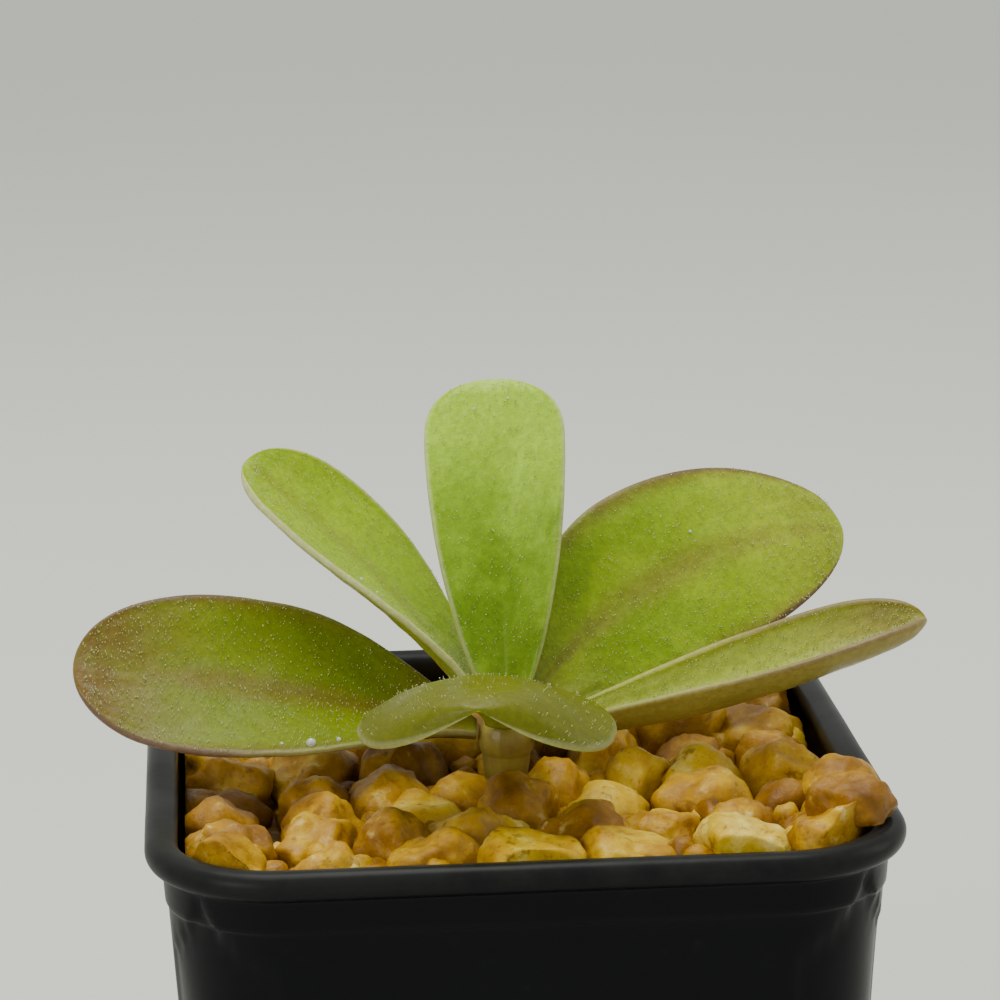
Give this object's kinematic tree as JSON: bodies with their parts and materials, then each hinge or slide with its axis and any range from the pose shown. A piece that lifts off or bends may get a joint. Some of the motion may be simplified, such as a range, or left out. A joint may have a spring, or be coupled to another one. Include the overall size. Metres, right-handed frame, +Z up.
{
  "type": "butterwort in a pot",
  "caption": "Butterwort with broad sticky green leaves in a black square nursery pot filled with golden gravel",
  "frame": {"origin": "centre of the pot's flat base, on the surface it stands on", "axes": "+X to the viewer's right along the pot's front side, +Y away from the viewer, +Z up out of the pot"},
  "size_m": [0.0822, 0.07, 0.0975],
  "materials": {
    "black_plastic": "semi-gloss black",
    "gravel": "golden, slightly waxy",
    "crown_skin": "moist brown-green plant skin",
    "leaf_skin": "moist, sticky green plant skin"
  },
  "bodies": {
    "root": {"pot": "black_plastic", "gravel": "gravel", "crown": "crown_skin", "leaf_left": "leaf_skin", "leaf_back_left": "leaf_skin", "leaf_centre": "leaf_skin", "leaf_back": "leaf_skin", "leaf_right_upper": "leaf_skin", "leaf_right_low": "leaf_skin", "leaf_front": "leaf_skin"}
  },
  "joints": []
}
